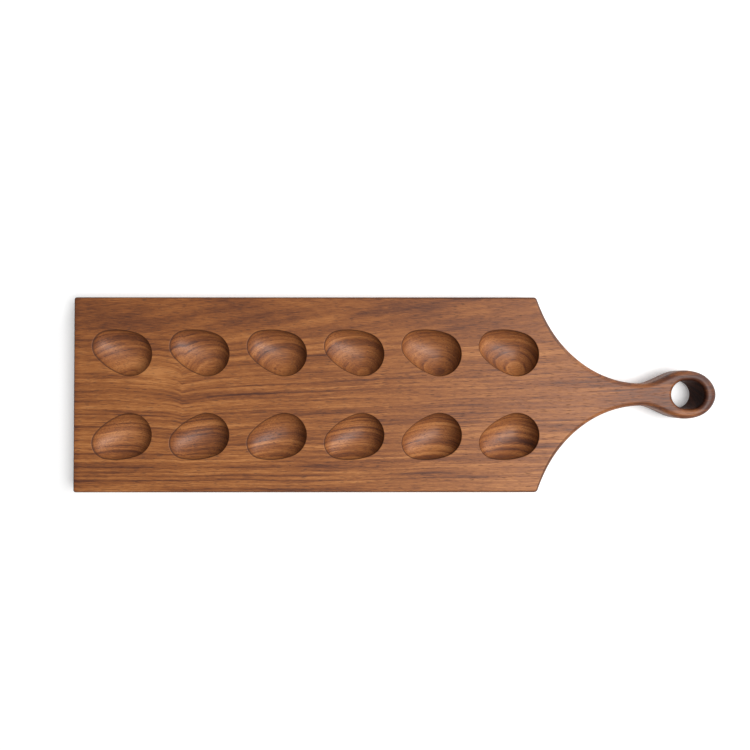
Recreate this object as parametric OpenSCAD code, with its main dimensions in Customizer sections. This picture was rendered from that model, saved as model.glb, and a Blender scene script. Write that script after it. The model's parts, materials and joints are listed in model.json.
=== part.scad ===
// Egg serving board with a ring handle, cut from one plank of walnut.
// The board lies flat: +X points to the handle, +Z is up, and the origin is under the middle of its length.
// Dimensions are in millimetres.

/* [Board] */
// Length over everything, from the square end to the tip of the ring
overall_length = 645; // [635:1:680]
// Width across the board
board_width = 195.4; // [190:0.2:206]
// Thickness of the plank
thickness = 26; // [24:0.5:38]
// Corner radius at the square end, seen from above
end_corner_r = 2.4; // [2.4:0.1:6]
// Corner radius where each shoulder begins, seen from above
shoulder_corner_r = 4; // [3:0.5:8]

/* [Handle] */
// Width of the neck at its narrowest
neck_width = 22.4; // [20:0.2:28]
// Distance from the narrowest part of the neck to the middle of the ring
neck_to_ring = 43.3; // [40:0.1:50]
// Width across the ring
ring_width = 48.8; // [46:0.2:54]
// Distance from the middle of the ring to its tip
ring_nose = 32.2; // [30:0.1:36]
// Diameter of the hanging hole
hole_d = 28; // [22:0.5:29]
// Rounding of both rims of the hanging hole
hole_rim_r = 4; // [2:0.5:4.5]
// The sweep from each shoulder to the neck is part of an ellipse. This is its half axis along X
sweep_length = 114.7; // [108:0.1:118]
// The half axis of the same ellipse along Y
sweep_depth = 139.3; // [134:0.1:150]

/* [Egg wells] */
// Number of wells along the board
well_columns = 6; // [4:1:6]
// Distance between wells along the board
well_pitch = 77.4; // [74:0.1:78]
// Distance between the two rows, from broad end to broad end
row_spacing = 81; // [77:0.2:88]
// Distance from the square end to the broad end of the first well
first_well = 56.2; // [51:0.1:59]
// Width of a well across its broad end, at the surface
well_width = 44.3; // [40:0.1:46]
// Depth of a well at its deepest
well_depth = 17; // [14:0.5:19]
// Distance from the centre of a well's broad end to the centre of its narrow end
well_reach = 23.4; // [22:0.1:26]
// How much larger the radius of a well's long flanks is than its broad end's
well_flank = 44; // [40:0.5:56]
// Angle between each well and the board's length
well_turn = 19.7; // [0:0.1:26]

/* [Hidden] */
WALNUT = [0.42, 0.25, 0.15];
$fn = 96;

// Steps along each stretch of the outline
NOSE_STEPS = 18;
FLARE_STEPS = 14;
SWEEP_STEPS = 30;
CORNER_STEPS = 4;

// Places along X
left_end = -overall_length / 2;
ring_x = overall_length / 2 - ring_nose;
neck_x = ring_x - neck_to_ring;
half_neck = neck_width / 2;
half_ring = ring_width / 2;
half_board = board_width / 2;

// ---- Outline, seen from above ----

function unit(v) = v / norm(v);

// Ring tip: a quarter of an ellipse, from the tip to the ring's widest point
function nose_point(a) = [ring_x + ring_nose * cos(a), half_ring * sin(a)];

// Flare: half a cosine wave, from the neck out to the ring's widest point
function flare_point(t) =
    [neck_x + neck_to_ring * t, half_neck + (half_ring - half_neck) * (1 - cos(180 * t)) / 2];

// Sweep: part of an ellipse that is hollow towards the outside, from the neck out to the shoulder
function sweep_point(a) = [neck_x - sweep_length * sin(a), half_neck + sweep_depth * (1 - cos(a))];
function sweep_normal(a) = unit([sin(a) / sweep_length, cos(a) / sweep_depth]);

// The sweep stops where a circle of the shoulder's radius fits between it and the board's side
function corner_height(a) = sweep_point(a)[1] + shoulder_corner_r * (1 - sweep_normal(a)[1]);
function corner_angle(low = 20, high = 89, turns = 24) =
    let (mid = (low + high) / 2)
    turns == 0 ? mid
        : corner_height(mid) < half_board ? corner_angle(mid, high, turns - 1)
        : corner_angle(low, mid, turns - 1);

sweep_end = corner_angle();
corner_start = atan2(sweep_normal(sweep_end)[1], sweep_normal(sweep_end)[0]);
corner_centre = sweep_point(sweep_end) - shoulder_corner_r * sweep_normal(sweep_end);

function arc_point(centre, r, a) = centre + r * [cos(a), sin(a)];

// The upper half of the outline, from the ring's tip round to the square end
half_outline = [
    for (i = [0:NOSE_STEPS - 1]) nose_point(90 * i / NOSE_STEPS),
    for (i = [FLARE_STEPS:-1:1]) flare_point(i / FLARE_STEPS),
    for (i = [0:SWEEP_STEPS - 1]) sweep_point(sweep_end * i / SWEEP_STEPS),
    for (i = [0:CORNER_STEPS])
        arc_point(corner_centre, shoulder_corner_r, corner_start + (90 - corner_start) * i / CORNER_STEPS),
    for (i = [0:CORNER_STEPS])
        arc_point([left_end + end_corner_r, half_board - end_corner_r], end_corner_r, 90 + 90 * i / CORNER_STEPS)
];

// The lower half runs back to the tip, whose own point is already there
outline = concat(half_outline, [for (i = [len(half_outline) - 1:-1:1]) [half_outline[i][0], -half_outline[i][1]]]);

module blank() {
    linear_extrude(height = thickness) polygon(outline);
}

// ---- Hanging hole: a straight bore with both rims rounded over ----

// Each rim's rounding runs this little past the flat face, so that the two meet at a crease and not at a tangent
RIM_BITE = 0.05;
hole_r = hole_d / 2;
rim_middle = hole_rim_r - RIM_BITE;

module rim_circle(z) {
    translate([hole_r + hole_rim_r, z]) circle(r = hole_rim_r);
}

module hanging_hole() {
    translate([ring_x, 0, 0])
        rotate_extrude()
            difference() {
                translate([0, -1]) square([hole_r + hole_rim_r, thickness + 2]);
                translate([hole_r, rim_middle]) square([hole_rim_r + 1, thickness - 2 * rim_middle]);
                rim_circle(rim_middle);
                rim_circle(thickness - rim_middle);
            }
}

// ---- Egg wells: an egg of revolution, sunk so that only its lower part cuts the surface ----

half_well = well_width / 2;
// Radius of the broad end's sphere, which gives the stated width at the surface and the stated depth
broad_r = (half_well * half_well + well_depth * well_depth) / (2 * well_depth);
axis_height = broad_r - well_depth;
flank_r = broad_r + well_flank;
flank_span = norm([well_flank, well_reach]);
narrow_r = flank_r - flank_span;
// Where the flank hands over to the narrow end's sphere, along the egg's axis
handover = flank_r * well_reach / flank_span;
// The narrow sphere is this much larger than a tangent one, so that it crosses the flank at a crease
NARROW_BITE = 0.02;

module egg_profile() {
    intersection() {
        circle(r = broad_r);
        translate([0, -broad_r - 1]) square([broad_r + 1, broad_r + 1]);
    }
    intersection() {
        translate([-well_flank, 0]) circle(r = flank_r);
        union() {
            square([broad_r + 1, handover]);
            narrow_end();
        }
    }
}

module narrow_end() {
    intersection() {
        translate([0, well_reach]) circle(r = narrow_r + NARROW_BITE);
        square([broad_r + 1, well_reach + 2 * narrow_r]);
    }
}

// The egg's axis lies along X, with its narrow end towards -X and the broad end's centre at the origin
module egg() {
    rotate([0, -90, 0]) rotate_extrude() egg_profile();
}

module egg_wells() {
    for (column = [0:well_columns - 1], side = [-1, 1])
        translate([left_end + first_well + column * well_pitch, side * row_spacing / 2, thickness + axis_height])
            rotate([0, 0, -side * well_turn]) egg();
}

module board() {
    color(WALNUT)
        difference() {
            blank();
            hanging_hole();
            egg_wells();
        }
}

board();
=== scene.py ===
"""Looks of the egg serving board: its rounded visual mesh, oiled walnut, a pale floor and soft studio light.

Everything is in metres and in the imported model's frame. The mesh functions work in millimetres.
"""
import json
import math

import bpy
import numpy as np
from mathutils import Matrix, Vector, geometry


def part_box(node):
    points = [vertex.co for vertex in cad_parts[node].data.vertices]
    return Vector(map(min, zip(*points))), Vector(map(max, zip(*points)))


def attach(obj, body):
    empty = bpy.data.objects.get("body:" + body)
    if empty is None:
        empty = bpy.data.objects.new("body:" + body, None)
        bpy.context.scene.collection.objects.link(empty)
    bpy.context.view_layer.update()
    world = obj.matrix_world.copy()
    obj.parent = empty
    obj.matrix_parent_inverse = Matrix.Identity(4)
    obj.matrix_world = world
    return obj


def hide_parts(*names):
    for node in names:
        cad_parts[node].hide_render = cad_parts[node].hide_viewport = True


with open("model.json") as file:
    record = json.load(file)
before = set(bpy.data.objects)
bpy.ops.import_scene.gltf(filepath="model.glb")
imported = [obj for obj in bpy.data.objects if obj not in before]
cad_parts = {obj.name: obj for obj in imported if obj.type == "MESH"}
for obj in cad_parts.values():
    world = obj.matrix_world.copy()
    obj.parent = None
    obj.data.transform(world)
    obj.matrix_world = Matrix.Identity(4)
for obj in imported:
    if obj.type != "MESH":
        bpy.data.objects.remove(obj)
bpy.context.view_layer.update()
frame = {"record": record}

MM = 0.001

# ---- Sizes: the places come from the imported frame, and the curves repeat the model's own rules ----

low, high = (np.array(corner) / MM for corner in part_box("board"))
LEFT_END, RING_TIP = low[0], high[0]
HALF_WIDTH = high[1]
THICKNESS = high[2]

hang_hole = next(m for m in frame["record"]["mounts"] if m["name"] == "hang_hole")
RING_X = hang_hole["pos_m"][0] / MM
HOLE_R = hang_hole["dims"]["r_mm"]
HOLE_RIM_R = 4.0
HOLE_LEAN = 5.0
# The hole's wall starts to lean at the ring's middle, and leans fully from this far towards the tip
LEAN_FULL = 16.0

NECK_TO_RING = 43.3
NECK_X = RING_X - NECK_TO_RING
HALF_NECK = 11.2
HALF_RING = 24.4
SWEEP_LENGTH, SWEEP_DEPTH = 114.7, 139.3
SHOULDER_R = 4.0
END_R = 2.4

BODY_EDGE_R, HANDLE_EDGE_R, TIP_EDGE_R = 1.8, 5.2, 8.2
# Where the body's edge turns into the handle's, and where the handle's starts to turn into the tip's
HANDLE_EDGE_STARTS, HANDLE_EDGE_FULL = NECK_X - 122.0, NECK_X - 82.0
TIP_EDGE_STARTS = RING_X + 16.0

WELL_COLUMNS, WELL_PITCH = 6, 77.4
FIRST_WELL_X = LEFT_END + 56.2
WELL_ROW_Y = 40.5
WELL_TURN = math.radians(19.7)
WELL_HALF_WIDTH, WELL_DEPTH = 22.15, 17.0
WELL_REACH, WELL_FLANK = 23.4, 44.0
WELL_RIM_R = 0.7
# The point on a well's axis, from its broad end's centre, that its mesh spreads out from
WELL_MIDDLE = 7.5

BROAD_R = (WELL_HALF_WIDTH ** 2 + WELL_DEPTH ** 2) / (2 * WELL_DEPTH)
AXIS_HEIGHT = BROAD_R - WELL_DEPTH
FLANK_R = BROAD_R + WELL_FLANK
FLANK_SPAN = math.hypot(WELL_FLANK, WELL_REACH)
NARROW_R = FLANK_R - FLANK_SPAN
HANDOVER = FLANK_R * WELL_REACH / FLANK_SPAN

# How finely each stretch is divided
NOSE_STEPS, FLARE_STEPS, SWEEP_STEPS, CORNER_STEPS = 48, 40, 90, 8
ARC_STEPS = 8
HOLE_STEPS = 128
WELL_SPOKES, WELL_RINGS, RIM_STEPS = 112, 22, 5
# Searches by halving: how often they halve, and the intervals that hold the sweep's end and a well's rim
HALVINGS = 40
SWEEP_END_BETWEEN = math.radians(20), math.radians(89)
RIM_BETWEEN = 0.0, 60.0
# A square root's smallest argument, and the distance within which points of a flat count as one
TINY, SAME_POINT = 1e-9, 1e-6
# What the triangulation returns: triangles inside the outer loop
TRIANGLES_INSIDE = 1


# ---- Outline: points with their outward normals, as (x, y, nx, ny) ----

def unit(x, y):
    size = math.hypot(x, y)
    return x / size, y / size


def nose_point(angle):
    nose = RING_TIP - RING_X
    normal = unit(math.cos(angle) / nose, math.sin(angle) / HALF_RING)
    return (RING_X + nose * math.cos(angle), HALF_RING * math.sin(angle), *normal)


def flare_point(t):
    rise = HALF_RING - HALF_NECK
    normal = unit(-rise * math.pi / 2 * math.sin(math.pi * t), NECK_TO_RING)
    return (NECK_X + NECK_TO_RING * t, HALF_NECK + rise * (1 - math.cos(math.pi * t)) / 2, *normal)


def sweep_point(angle):
    normal = unit(math.sin(angle) / SWEEP_LENGTH, math.cos(angle) / SWEEP_DEPTH)
    x = NECK_X - SWEEP_LENGTH * math.sin(angle)
    return (x, HALF_NECK + SWEEP_DEPTH * (1 - math.cos(angle)), *normal)


def arc_points(centre_x, centre_y, radius, start, end, steps):
    points = []
    for i in range(steps + 1):
        angle = start + (end - start) * i / steps
        nx, ny = math.cos(angle), math.sin(angle)
        points.append((centre_x + radius * nx, centre_y + radius * ny, nx, ny))
    return points


def sweep_end():
    """The angle where a circle of the shoulder's radius fits between the sweep and the board's side."""
    low_angle, high_angle = SWEEP_END_BETWEEN
    for _ in range(HALVINGS):
        middle = (low_angle + high_angle) / 2
        _, y, _, ny = sweep_point(middle)
        if y + SHOULDER_R * (1 - ny) < HALF_WIDTH:
            low_angle = middle
        else:
            high_angle = middle
    return middle


def outline():
    """The board's outline from the ring's tip, anticlockwise seen from above."""
    last = sweep_end()
    x, y, nx, ny = sweep_point(last)
    quarter = math.pi / 2
    half = [nose_point(quarter * i / NOSE_STEPS) for i in range(NOSE_STEPS)]
    half += [flare_point(i / FLARE_STEPS) for i in range(FLARE_STEPS, 0, -1)]
    half += [sweep_point(last * i / SWEEP_STEPS) for i in range(SWEEP_STEPS)]
    shoulder = (x - SHOULDER_R * nx, y - SHOULDER_R * ny)
    half += arc_points(*shoulder, SHOULDER_R, math.atan2(ny, nx), quarter, CORNER_STEPS)
    half += arc_points(LEFT_END + END_R, HALF_WIDTH - END_R, END_R, quarter, math.pi, CORNER_STEPS)
    return half + [(x, -y, nx, -ny) for x, y, nx, ny in reversed(half[1:])]


def hole_outline():
    """The hanging hole, clockwise, so that its normals point into the hole."""
    angles = [-2 * math.pi * i / HOLE_STEPS for i in range(HOLE_STEPS)]
    return [(RING_X + HOLE_R * math.cos(a), HOLE_R * math.sin(a), -math.cos(a), -math.sin(a)) for a in angles]


def smooth_step(x, start, end):
    t = min(max((x - start) / (end - start), 0.0), 1.0)
    return t * t * (3 - 2 * t)


def edge_radius(x):
    """The outer edges are eased along the body, rounded on the handle and fully rounded at the ring's tip."""
    handle = (HANDLE_EDGE_R - BODY_EDGE_R) * smooth_step(x, HANDLE_EDGE_STARTS, HANDLE_EDGE_FULL)
    return BODY_EDGE_R + handle + (TIP_EDGE_R - HANDLE_EDGE_R) * smooth_step(x, TIP_EDGE_STARTS, RING_TIP)


def hole_lean(x):
    """Towards the tip the hole's wall leans out, so that the hole is longer at the top than below."""
    return HOLE_LEAN * smooth_step(x, RING_X, RING_X + LEAN_FULL)


# ---- Mesh ----

class MeshParts:
    """Vertices, their normals and faces, collected piece by piece."""

    def __init__(self):
        self.points, self.normals, self.faces = [], [], []

    def loop(self, points, normals):
        """Adds a closed loop of vertices and returns their indices."""
        first = len(self.points)
        self.points += points
        self.normals += normals
        return list(range(first, len(self.points)))

    def band(self, a, b):
        """Joins two loops of the same length with quads."""
        count = len(a)
        self.faces += [(a[i], a[(i + 1) % count], b[(i + 1) % count], b[i]) for i in range(count)]

    def flat(self, outer, holes, facing_up):
        """Fills the flat between an outer loop and convex holes with triangles."""
        indices = [i for loop in [outer, *holes] for i in loop]
        owner = [number for number, loop in enumerate([outer, *holes]) for _ in loop]
        edges, first = [], 0
        for loop in [outer, *holes]:
            count = len(loop)
            edges += [(first + i, first + (i + 1) % count) for i in range(count)]
            first += count
        flat_points = [Vector(self.points[i][:2]) for i in indices]
        found = geometry.delaunay_2d_cdt(flat_points, edges, [], TRIANGLES_INSIDE, SAME_POINT)
        _, _, triangles, sources, _, _ = found
        for triangle in triangles:
            corners = [sources[v][0] for v in triangle]
            owners = {owner[c] for c in corners}
            if len(owners) == 1 and owners != {0}:
                continue
            face = tuple(indices[c] for c in corners)
            self.faces.append(face if facing_up else face[::-1])


def rounded_wall(parts, contour, radius_at, lean_at):
    """A wall from the underside to the top with both edges rounded, returned as its lowest and highest loop.

    Its top is set back from the contour by the lean.
    """
    loops = []
    quarter = math.pi / 2
    shares = [k / ARC_STEPS for k in range(ARC_STEPS + 1)]
    for is_upper, share in [(False, share) for share in shares] + [(True, share) for share in shares]:
        points, normals = [], []
        for x, y, nx, ny in contour:
            radius, lean = radius_at(x), lean_at(x)
            slope = math.atan2(lean, THICKNESS - 2 * radius)
            if is_upper:
                tilt = slope + (quarter - slope) * share
                inset = lean + radius * (1 - math.cos(tilt))
                z = THICKNESS - radius + radius * math.sin(tilt)
            else:
                tilt = -quarter + (quarter + slope) * share
                inset = radius * (1 - math.cos(tilt))
                z = radius + radius * math.sin(tilt)
            points.append((x - nx * inset, y - ny * inset, z))
            normals.append((nx * math.cos(tilt), ny * math.cos(tilt), math.sin(tilt)))
        loops.append(parts.loop(points, normals))
    for below, above in zip(loops, loops[1:]):
        parts.band(below, above)
    return loops[0], loops[-1]


def egg_radius_squared(s):
    """The egg's radius at a place along its axis, squared, and half the slope of that square."""
    if s < 0:
        return BROAD_R ** 2 - s * s, -s
    if s < HANDOVER:
        root = math.sqrt(FLANK_R ** 2 - s * s)
        return (root - WELL_FLANK) ** 2, -(root - WELL_FLANK) * s / root
    return NARROW_R ** 2 - (s - WELL_REACH) ** 2, WELL_REACH - s


def well_wall(s, t):
    """Depth under the top and the upward normal, in the well's own axes."""
    squared, slope = egg_radius_squared(s)
    drop = math.sqrt(max(squared - t * t, TINY))
    size = math.sqrt(slope * slope + t * t + drop * drop)
    return drop - AXIS_HEIGHT, (slope / size, -t / size, drop / size)


def rim_distance(angle):
    """How far the well's rim is from its middle in one direction."""
    near, far = RIM_BETWEEN
    for _ in range(HALVINGS):
        middle = (near + far) / 2
        s, t = WELL_MIDDLE + middle * math.cos(angle), middle * math.sin(angle)
        if egg_radius_squared(s)[0] - t * t > AXIS_HEIGHT ** 2:
            near = middle
        else:
            far = middle
    return near


def egg_well(parts, x, y, side):
    """One well with its eased rim, returned as the loop that meets the top face."""
    along = (-math.cos(WELL_TURN), side * math.sin(WELL_TURN))
    across = (-along[1], along[0])

    def place(s, t, z):
        return (x + s * along[0] + t * across[0], y + s * along[1] + t * across[1], z)

    def turn(normal):
        s, t, z = normal
        return (s * along[0] + t * across[0], s * along[1] + t * across[1], z)

    rim = []
    for i in range(WELL_SPOKES):
        angle = 2 * math.pi * i / WELL_SPOKES
        reach = rim_distance(angle)
        s, t = WELL_MIDDLE + reach * math.cos(angle), reach * math.sin(angle)
        _, normal = well_wall(s, t)
        out = unit(-normal[0], -normal[1])
        rim.append((s, t, out, math.acos(normal[2])))

    loops, inner_end = [], []
    for k in range(RIM_STEPS + 1):
        points, normals = [], []
        for s, t, out, steepness in rim:
            tilt = steepness * k / RIM_STEPS
            shift = WELL_RIM_R * (math.tan(steepness / 2) - math.sin(tilt))
            s_now, t_now = s + out[0] * shift, t + out[1] * shift
            points.append(place(s_now, t_now, THICKNESS - WELL_RIM_R * (1 - math.cos(tilt))))
            normals.append(turn((-out[0] * math.sin(tilt), -out[1] * math.sin(tilt), math.cos(tilt))))
            if k == RIM_STEPS:
                inner_end.append((s_now, t_now))
        loops.append(parts.loop(points, normals))
    for k in range(WELL_RINGS - 1, 0, -1):
        share = math.sin(math.pi / 2 * k / WELL_RINGS)
        points, normals = [], []
        for s, t in inner_end:
            s_now, t_now = WELL_MIDDLE + (s - WELL_MIDDLE) * share, t * share
            depth, normal = well_wall(s_now, t_now)
            points.append(place(s_now, t_now, THICKNESS - depth))
            normals.append(turn(normal))
        loops.append(parts.loop(points, normals))
    for outer, inner in zip(loops, loops[1:]):
        parts.band(outer, inner)
    depth, normal = well_wall(WELL_MIDDLE, 0.0)
    centre = parts.loop([place(WELL_MIDDLE, 0.0, THICKNESS - depth)], [turn(normal)])[0]
    last = loops[-1]
    parts.faces += [(last[i], last[(i + 1) % WELL_SPOKES], centre) for i in range(WELL_SPOKES)]
    return loops[0]


def board_piece():
    parts = MeshParts()
    bottom, top = rounded_wall(parts, outline(), edge_radius, lambda x: 0.0)
    hole_bottom, hole_top = rounded_wall(parts, hole_outline(), lambda x: HOLE_RIM_R, hole_lean)
    rims = [
        egg_well(parts, FIRST_WELL_X + column * WELL_PITCH, side * WELL_ROW_Y, side)
        for column in range(WELL_COLUMNS)
        for side in (-1, 1)
    ]
    parts.flat(top, [hole_top, *rims], facing_up=True)
    parts.flat(bottom, [hole_bottom], facing_up=False)
    mesh = bpy.data.meshes.new("board_wood")
    mesh.from_pydata([tuple(c * MM for c in point) for point in parts.points], [], parts.faces)
    mesh.polygons.foreach_set("use_smooth", [True] * len(mesh.polygons))
    mesh.update()
    mesh.normals_split_custom_set_from_vertices(parts.normals)
    piece = bpy.data.objects.new("board_wood", mesh)
    bpy.context.scene.collection.objects.link(piece)
    return piece


# ---- Material ----

# Where a colour mix node has its factor, its two colours and its result among its sockets
MIX_FACTOR, MIX_A, MIX_B, MIX_RESULT = 0, 6, 7, 2


class Graph:
    """Adds shader nodes and links whatever they are given, a socket or a plain value."""

    def __init__(self, material):
        material.use_nodes = True
        self.tree = material.node_tree
        self.shader = next(n for n in self.tree.nodes if n.type == "BSDF_PRINCIPLED")

    def node(self, kind, **settings):
        made = self.tree.nodes.new(kind)
        for name, value in settings.items():
            setattr(made, name, value)
        return made

    def feed(self, socket, source):
        if isinstance(source, bpy.types.NodeSocket):
            self.tree.links.new(source, socket)
        else:
            socket.default_value = source

    def math(self, operation, *sources):
        made = self.node("ShaderNodeMath", operation=operation)
        for socket, source in zip(made.inputs, sources):
            self.feed(socket, source)
        return made.outputs[0]

    def add(self, *sources):
        total = sources[0]
        for source in sources[1:]:
            total = self.math("ADD", total, source)
        return total

    def minus(self, a, b):
        return self.math("SUBTRACT", a, b)

    def times(self, a, b):
        return self.math("MULTIPLY", a, b)

    def times_plus(self, a, b, c):
        return self.math("MULTIPLY_ADD", a, b, c)

    def vector(self, x, y, z):
        made = self.node("ShaderNodeCombineXYZ")
        for socket, source in zip(made.inputs, (x, y, z)):
            self.feed(socket, source)
        return made.outputs[0]

    def noise(self, x, y, z, detail=2.0, roughness=0.5):
        """Noise centred on zero, mostly within half a unit either way."""
        made = self.node("ShaderNodeTexNoise")
        self.feed(made.inputs["Vector"], self.vector(x, y, z))
        self.feed(made.inputs["Scale"], 1.0)
        self.feed(made.inputs["Detail"], detail)
        self.feed(made.inputs["Roughness"], roughness)
        return self.minus(made.outputs[0], 0.5)

    def grain_noise(self, place, along, across, detail=2.0, roughness=0.5):
        """Noise stretched along the board: its grain is along mm long and across mm wide."""
        x, y, z = place
        return self.noise(
            self.times(x, 1 / along), self.times(y, 1 / across), self.times(z, 1 / across), detail, roughness
        )

    def mix(self, factor, a, b, blend="MIX"):
        made = self.node("ShaderNodeMix", data_type="RGBA", blend_type=blend)
        for index, source in ((MIX_FACTOR, factor), (MIX_A, a), (MIX_B, b)):
            self.feed(made.inputs[index], source)
        return made.outputs[MIX_RESULT]

    def smooth(self, source, start, end):
        """Rises smoothly from 0 at start to 1 at end."""
        made = self.node("ShaderNodeMapRange", interpolation_type="SMOOTHSTEP")
        for name, value in (("Value", source), ("From Min", start), ("From Max", end)):
            self.feed(made.inputs[name], value)
        return made.outputs["Result"]


# The tree's growth rings: their middle runs along the board, above it, and rises towards the handle
PITH_Y = 80.0
PITH_HEIGHT = 32.0
PITH_SLOPE = 0.05
RING_SPACING = 4.4
# How far the rings wander, and the length and width of the patches they wander in
SLOW_WANDER, SLOW_PATCH = 7.0, (150.0, 55.0)
QUICK_WANDER, QUICK_PATCH = 1.1, (30.0, 9.0)

# A small knot below the surface pulls the rings aside here
DIP_X, DIP_Y = -214.0, 14.0
DIP_DEPTH = 11.5
DIP_WIDTH = 42.0
DIP_LEFT, DIP_RIGHT = 13.0, 42.0
# The light patch where the fibres dive towards the knot
GLOW_X, GLOW_Y = -238.0, 20.0
GLOW_LENGTH, GLOW_WIDTH = 26.0, 13.0
GLOW_STRENGTH = 0.34

# Dark latewood fills the outer part of each ring and ends sharply, as shares of the ring
LATE_RISE, LATE_END = (0.35, 0.97), (0.95, 1.0)
LATE_WEAKEST = 0.2
LATE_DARKENING = 0.46
# It breaks up in patches of this length and width, where the noise is below this range
BREAK_PATCH = (45.0, 3.0)
BREAK_RANGE = (0.25, 0.60)

# Bands that follow the rings: bands per ring, how far they run along the board, the slice of noise
# they come from, its detail and roughness, and their strength
BANDS = (
    (0.42, 220.0, 0.0, 1.0, 0.5, 1.0),
    (1.1, 120.0, 7.0, 1.0, 0.5, 1.05),
    (2.6, 60.0, 3.0, 3.0, 0.65, 1.0),
)

# The figure weakens from the lower side to the middle line, and again where it turns calm
MIDDLE_RANGE, MIDDLE_WEAKENING = (-45.0, 0.0), 0.26
CALM_RANGE, CALM_WEAKENING, CALM_DARKENING = (46.0, 74.0), 0.52, 0.20
STREAK_CLIMB = 0.16
STREAK_PATCH, STREAK_ROUGHNESS = (95.0, 9.0), 0.55
# Below the face, as in the wells, it is a little stronger: the depths where that starts and is full
WELL_RANGE, WELL_STRENGTHENING = (1.0, 6.0), 0.16

BASE_TONE = 0.615
CLOUD_PATCH, CLOUD_STRENGTH = (140.0, 40.0), 0.34
FIBRE_PATCH, FIBRE_STRENGTH = (12.0, 0.7), 1.35
# The detail and roughness of the fibres' noise
FIBRE_DETAIL, FIBRE_ROUGHNESS = 3.0, 0.8
# Along X: where the body gives way to the handle, and where the neck and then the ring's tip darken
BODY_END = (150.0, 200.0)
NECK_RANGE, TIP_RANGE = (185.0, 260.0), (298.0, 312.0)
HANDLE_DARKENING = 0.38
# Painted sheen: the lower side is paler towards the handle
PAINTED_SHEEN_Y, PAINTED_SHEEN_X, PAINTED_SHEEN_STRENGTH = (-40.0, -85.0), (-80.0, 110.0), 0.14
# Painted shade: the square end darkens over its last stretch
END_SHADE_LENGTH, END_SHADE_DARKENING = 8.0, 0.20

# Walnut from its darkest latewood to its lightest earlywood, as linear colours
WALNUT_TONES = (
    (0.00, (0.085, 0.029, 0.018)),
    (0.25, (0.165, 0.055, 0.022)),
    (0.50, (0.270, 0.091, 0.028)),
    (0.75, (0.370, 0.136, 0.040)),
    (1.00, (0.488, 0.198, 0.064)),
)

# The pores' dark stain, which also paints the shade along the rims
PORE_AND_RIM_SHADE_COLOUR = (0.060, 0.028, 0.020, 1.0)
PORE_PATCH, PORE_RANGE = (8.0, 0.7), (0.09, 0.20)
PORE_STRENGTH = 0.6
# Painted shade: the dark line along the rims of the wells and of the body, with the depths where it starts
# and ends
RIM_SHADE_STARTS, RIM_SHADE_ENDS = (0.03, 0.30), (1.0, 3.2)
RIM_SHADE_STRENGTH = 0.72

# Where the surface cuts across the fibres, by its normal's part along the board, it is darker; the same
# colour paints shade onto the hanging hole's wall
END_GRAIN_AND_HOLE_SHADE = (0.36, 0.25, 0.21, 1.0)
CUT_RANGE = (0.38, 0.90)
CUT_ON_BODY, CUT_ON_HANDLE = 0.35, 0.95
CUT_CHANGE = (138.0, 165.0)
# The hanging hole's wall gets painted shade: how far outside its radius the shade ends, and how level its rim
# may be
HOLE_SHADE = (HOLE_R + 4.0, HOLE_R + 7.0)
HOLE_LEVEL = (0.35, 0.98)

# Gloss: the face's values and what the fibres, pores, wells, soaked grain and the painted shade in the
# hanging hole add to them
IOR = 1.5
ROUGHNESS, FIBRE_ROUGHENING, PORE_ROUGHENING, WELL_ROUGHENING = 0.46, 0.25, 0.2, 0.05
SPECULAR, WELL_SPECULAR, SOAKED_AND_HOLE_SPECULAR = 0.29, 0.20, -0.20
BUMP_STRENGTH, BUMP_HEIGHT, PORE_BUMP = 0.35, 0.12, -0.6


def board_place(graph):
    """The point on the board in millimetres, as three sockets."""
    coordinates = graph.node("ShaderNodeTexCoord").outputs["Object"]
    split = graph.node("ShaderNodeSeparateXYZ")
    graph.feed(split.inputs[0], coordinates)
    return tuple(graph.times(axis, 1 / MM) for axis in split.outputs)


def ring_number(graph, place):
    """How many rings out from the pith a point is, with the wander of a real tree."""
    x, y, z = place
    aside = graph.minus(y, PITH_Y)
    pith_z = graph.times_plus(x, PITH_SLOPE, THICKNESS + PITH_HEIGHT)
    above = graph.minus(pith_z, z)
    radius = graph.math("SQRT", graph.times_plus(aside, aside, graph.times(above, above)))
    slow = graph.times(graph.grain_noise(place, *SLOW_PATCH, 1.0), SLOW_WANDER)
    quick = graph.times(graph.grain_noise(place, *QUICK_PATCH, 1.0), QUICK_WANDER)
    from_dip = graph.minus(x, DIP_X)
    far = graph.math("MAXIMUM", graph.times(from_dip, 1 / DIP_RIGHT), graph.times(from_dip, -1 / DIP_LEFT))
    across = graph.times(graph.minus(y, DIP_Y), 1 / DIP_WIDTH)
    fading = graph.times(graph.add(far, 1.0), graph.times_plus(across, across, 1.0))
    dip = graph.math("DIVIDE", -DIP_DEPTH, fading)
    return graph.times(graph.add(radius, slow, quick, dip), 1 / RING_SPACING)


def latewood(graph, place, rings):
    """From 0 to 1: how dark the latewood is, in some rings more than in others."""
    within = graph.math("FRACT", rings)
    white = graph.node("ShaderNodeTexWhiteNoise", noise_dimensions="1D")
    graph.feed(white.inputs["W"], graph.math("FLOOR", rings))
    strength = graph.times_plus(white.outputs["Value"], 1.0 - LATE_WEAKEST, LATE_WEAKEST)
    before_end = graph.minus(1.0, graph.smooth(within, *LATE_END))
    late = graph.times(graph.times(graph.smooth(within, *LATE_RISE), before_end), strength)
    broken = graph.add(graph.grain_noise(place, *BREAK_PATCH, 2.0), 0.5)
    return graph.times(late, graph.smooth(broken, *BREAK_RANGE))


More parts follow.
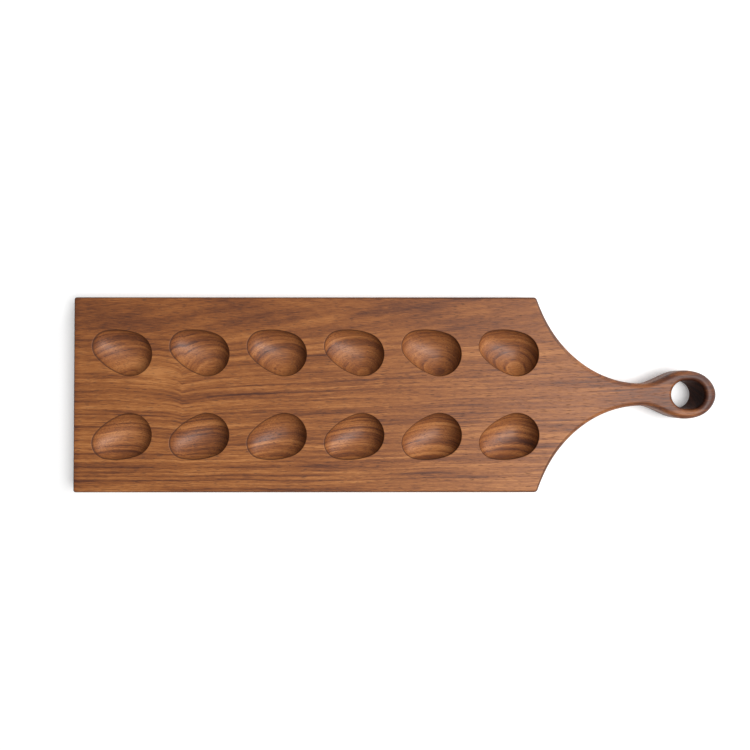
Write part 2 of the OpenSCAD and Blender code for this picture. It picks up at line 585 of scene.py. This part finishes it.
def figure(graph, place, in_wells):
    """Lighter above zero and darker below: the wood's figure, from its rings and its calm streaks."""
    x, y, z = place
    rings = ring_number(graph, place)
    layers = []
    for per_ring, length, slice_z, detail, roughness, strength in BANDS:
        across, along = graph.times(rings, per_ring), graph.times(x, 1 / length)
        band = graph.noise(across, along, slice_z, detail, roughness)
        layers.append(graph.times(band, strength))
    banded = graph.add(*layers, graph.times(latewood(graph, place, rings), -LATE_DARKENING))

    # Over the pith the saw ran along the rings: the figure is calm there, with soft streaks that climb
    calm = graph.smooth(y, *CALM_RANGE)
    climbing = (x, graph.times_plus(x, -STREAK_CLIMB, y), z)
    streaks = graph.grain_noise(climbing, *STREAK_PATCH, 2.0, STREAK_ROUGHNESS)
    weaker = graph.times(graph.smooth(y, *MIDDLE_RANGE), -MIDDLE_WEAKENING)
    strong = graph.add(1.0, weaker, graph.times(calm, -CALM_WEAKENING))
    strong = graph.times_plus(in_wells, WELL_STRENGTHENING, strong)
    soft = graph.times(streaks, calm)
    return graph.add(graph.times(banded, strong), soft, graph.times(calm, -CALM_DARKENING))


def knot_glow(graph, place):
    """1 in the middle of the light patch beside the knot, fading to 0 around it."""
    x, y, z = place
    along = graph.times(graph.minus(x, GLOW_X), 1 / GLOW_LENGTH)
    across = graph.times(graph.minus(y, GLOW_Y), 1 / GLOW_WIDTH)
    spread = graph.times_plus(along, along, graph.times(across, across))
    return graph.math("EXPONENT", graph.times(spread, -1.0))


def wood_tone(graph, place, in_wells, fibres):
    """The place on the walnut's scale of tones, from 0, darkest, to 1, lightest."""
    x, y, z = place
    clouds = graph.grain_noise(place, *CLOUD_PATCH, 2.0)
    handle = graph.add(graph.smooth(x, *NECK_RANGE), graph.smooth(x, *TIP_RANGE))
    # Painted sheen, paler on the lower side towards the handle
    painted_sheen = graph.times(graph.smooth(y, *PAINTED_SHEEN_Y), graph.smooth(x, *PAINTED_SHEEN_X))
    # Painted shade along the square end
    square_end_shade = graph.smooth(x, LEFT_END + END_SHADE_LENGTH, LEFT_END)
    return graph.add(
        BASE_TONE,
        figure(graph, place, in_wells),
        graph.times(clouds, CLOUD_STRENGTH),
        graph.times(fibres, FIBRE_STRENGTH),
        graph.times(handle, -HANDLE_DARKENING),
        graph.times(knot_glow(graph, place), GLOW_STRENGTH),
        graph.times(painted_sheen, PAINTED_SHEEN_STRENGTH),
        graph.times(square_end_shade, -END_SHADE_DARKENING),
    )


def walnut_colour(graph, tone):
    """The walnut's scale of tones as colours."""
    ramp = graph.node("ShaderNodeValToRGB")
    elements = ramp.color_ramp.elements
    while len(elements) < len(WALNUT_TONES):
        elements.new(0.5)
    for element, (position, colour) in zip(elements, WALNUT_TONES):
        element.position = position
        element.color = (*colour, 1.0)
    graph.feed(ramp.inputs[0], tone)
    return ramp.outputs["Color"]


def soaked_grain_and_hole_shade(graph, place):
    """From 0 to 1: how much darker the surface is where it cuts across the fibres, with painted shade on the
    hanging hole's wall.
    """
    x, y, z = place
    split = graph.node("ShaderNodeSeparateXYZ")
    graph.feed(split.inputs[0], graph.node("ShaderNodeTexCoord").outputs["Normal"])
    across = graph.smooth(graph.math("ABSOLUTE", split.outputs[0]), *CUT_RANGE)
    strength = graph.times_plus(graph.smooth(x, *CUT_CHANGE), CUT_ON_HANDLE - CUT_ON_BODY, CUT_ON_BODY)

    # Painted shade: the wall of the hanging hole is dark all round, and not only where it cuts across the
    # fibres
    from_hole = graph.minus(x, RING_X)
    distance = graph.math("SQRT", graph.times_plus(from_hole, from_hole, graph.times(y, y)))
    inside = graph.minus(1.0, graph.smooth(distance, *HOLE_SHADE))
    steep = graph.minus(1.0, graph.smooth(split.outputs[2], *HOLE_LEVEL))
    return graph.math("MAXIMUM", graph.times(across, strength), graph.times(inside, steep))


def walnut():
    material = bpy.data.materials.new("oiled_walnut")
    graph = Graph(material)
    place = board_place(graph)
    x, y, z = place
    depth = graph.minus(THICKNESS, z)
    on_body = graph.minus(1.0, graph.smooth(x, *BODY_END))
    in_wells = graph.times(graph.smooth(depth, *WELL_RANGE), on_body)
    fibres = graph.grain_noise(place, *FIBRE_PATCH, FIBRE_DETAIL, FIBRE_ROUGHNESS)
    pores = graph.smooth(graph.grain_noise(place, *PORE_PATCH, 1.0), *PORE_RANGE)
    soaked_and_hole_shade = soaked_grain_and_hole_shade(graph, place)

    # Painted shade darkens the rims of the wells and of the body, and each pore is stained darker
    rim = graph.times(graph.smooth(depth, *RIM_SHADE_STARTS), graph.minus(1.0, graph.smooth(depth, *RIM_SHADE_ENDS)))
    rim = graph.times(rim, on_body)
    pores_and_rim_shade = graph.math("MAXIMUM", graph.times(pores, PORE_STRENGTH), graph.times(rim, RIM_SHADE_STRENGTH))
    colour = walnut_colour(graph, wood_tone(graph, place, in_wells, fibres))
    # End-grain colour, and painted shade on the hanging hole's wall, multiplied over the walnut
    colour = graph.mix(soaked_and_hole_shade, colour, END_GRAIN_AND_HOLE_SHADE, "MULTIPLY")
    graph.feed(graph.shader.inputs["Base Color"], graph.mix(pores_and_rim_shade, colour, PORE_AND_RIM_SHADE_COLOUR))

    # The wells have a broader and slightly stronger sheen than the face
    roughness = graph.times_plus(in_wells, WELL_ROUGHENING, ROUGHNESS)
    roughness = graph.times_plus(fibres, FIBRE_ROUGHENING, roughness)
    graph.feed(graph.shader.inputs["Roughness"], graph.times_plus(pores, PORE_ROUGHENING, roughness))
    specular = graph.times_plus(in_wells, WELL_SPECULAR, SPECULAR)
    specular = graph.times_plus(soaked_and_hole_shade, SOAKED_AND_HOLE_SPECULAR, specular)
    graph.feed(graph.shader.inputs["Specular IOR Level"], specular)
    graph.shader.inputs["IOR"].default_value = IOR

    bump = graph.node("ShaderNodeBump")
    bump.inputs["Strength"].default_value = BUMP_STRENGTH
    bump.inputs["Distance"].default_value = BUMP_HEIGHT * MM
    graph.feed(bump.inputs["Height"], graph.times_plus(pores, PORE_BUMP, fibres))
    graph.feed(graph.shader.inputs["Normal"], bump.outputs[0])
    return material


# ---- Studio ----

FLOOR_SIDE = 8.0
# The floor lies this far below the board's underside, so that the two don't flicker
FLOOR_GAP = 0.0001
FLOOR_COLOUR = (0.88, 0.88, 0.88, 1.0)
FLOOR_ROUGHNESS, FLOOR_SPECULAR = 0.9, 0.1
FLOOR_GLOW = 0.26
WHITE = (1.0, 1.0, 1.0, 1.0)

# The camera looks down at VIEW_CENTRE and sees VIEW_SPAN there from edge to edge
VIEW_SPAN = 0.7496
VIEW_DISTANCE = 0.623
VIEW_TILT = math.radians(0.8)
VIEW_CENTRE = Vector((-0.0211, 0.0196, THICKNESS * MM))
SENSOR = 36.0
NEAR_CLIP = 0.01

# Soft square lights that shine at the origin: name, azimuth, elevation, distance, side and power
LIGHTS = (
    ("key", math.radians(-12), math.radians(60), 4.0, 2.0, 156.0),
    ("side", math.radians(32), math.radians(26), 3.0, 1.8, 34.0),
)
FILL = 0.15


def floor():
    half = FLOOR_SIDE / 2
    mesh = bpy.data.meshes.new("floor")
    corners = [(-half, -half, 0), (half, -half, 0), (half, half, 0), (-half, half, 0)]
    mesh.from_pydata(corners, [], [(0, 1, 2, 3)])
    made = bpy.data.objects.new("floor", mesh)
    made.location.z = -FLOOR_GAP
    bpy.context.scene.collection.objects.link(made)
    material = bpy.data.materials.new("pale_floor")
    graph = Graph(material)
    graph.shader.inputs["Base Color"].default_value = FLOOR_COLOUR
    graph.shader.inputs["Roughness"].default_value = FLOOR_ROUGHNESS
    graph.shader.inputs["Specular IOR Level"].default_value = FLOOR_SPECULAR
    graph.shader.inputs["Emission Color"].default_value = WHITE
    graph.shader.inputs["Emission Strength"].default_value = FLOOR_GLOW
    mesh.materials.append(material)


def aim(obj, target):
    obj.rotation_euler = (target - obj.location).to_track_quat("-Z", "Y").to_euler()


def soft_light(name, azimuth, elevation, distance, side, power):
    """A square light that shines at the origin from a compass angle and a height angle."""
    light = bpy.data.lights.new(name, "AREA")
    light.shape = "SQUARE"
    light.size = side
    light.energy = power
    made = bpy.data.objects.new(name, light)
    flat = distance * math.cos(elevation)
    made.location = (flat * math.cos(azimuth), flat * math.sin(azimuth), distance * math.sin(elevation))
    bpy.context.scene.collection.objects.link(made)
    aim(made, Vector((0, 0, 0)))


def fill_light():
    world = bpy.data.worlds.new("studio")
    world.use_nodes = True
    background = world.node_tree.nodes["Background"]
    background.inputs["Color"].default_value = WHITE
    background.inputs["Strength"].default_value = FILL
    bpy.context.scene.world = world


def camera():
    data = bpy.data.cameras.new("camera")
    data.sensor_width = SENSOR
    data.lens = SENSOR * VIEW_DISTANCE / VIEW_SPAN
    data.clip_start = NEAR_CLIP
    made = bpy.data.objects.new("camera", data)
    back = Vector((0, -math.sin(VIEW_TILT), math.cos(VIEW_TILT)))
    made.location = VIEW_CENTRE + back * VIEW_DISTANCE
    made.rotation_euler = (VIEW_TILT, 0, 0)
    bpy.context.scene.collection.objects.link(made)
    bpy.context.scene.camera = made


camera()
board = board_piece()
board.data.materials.append(walnut())
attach(board, "root")
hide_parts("board")
floor()
for light_settings in LIGHTS:
    soft_light(*light_settings)
fill_light()
bpy.context.scene.view_settings.view_transform = "Standard"
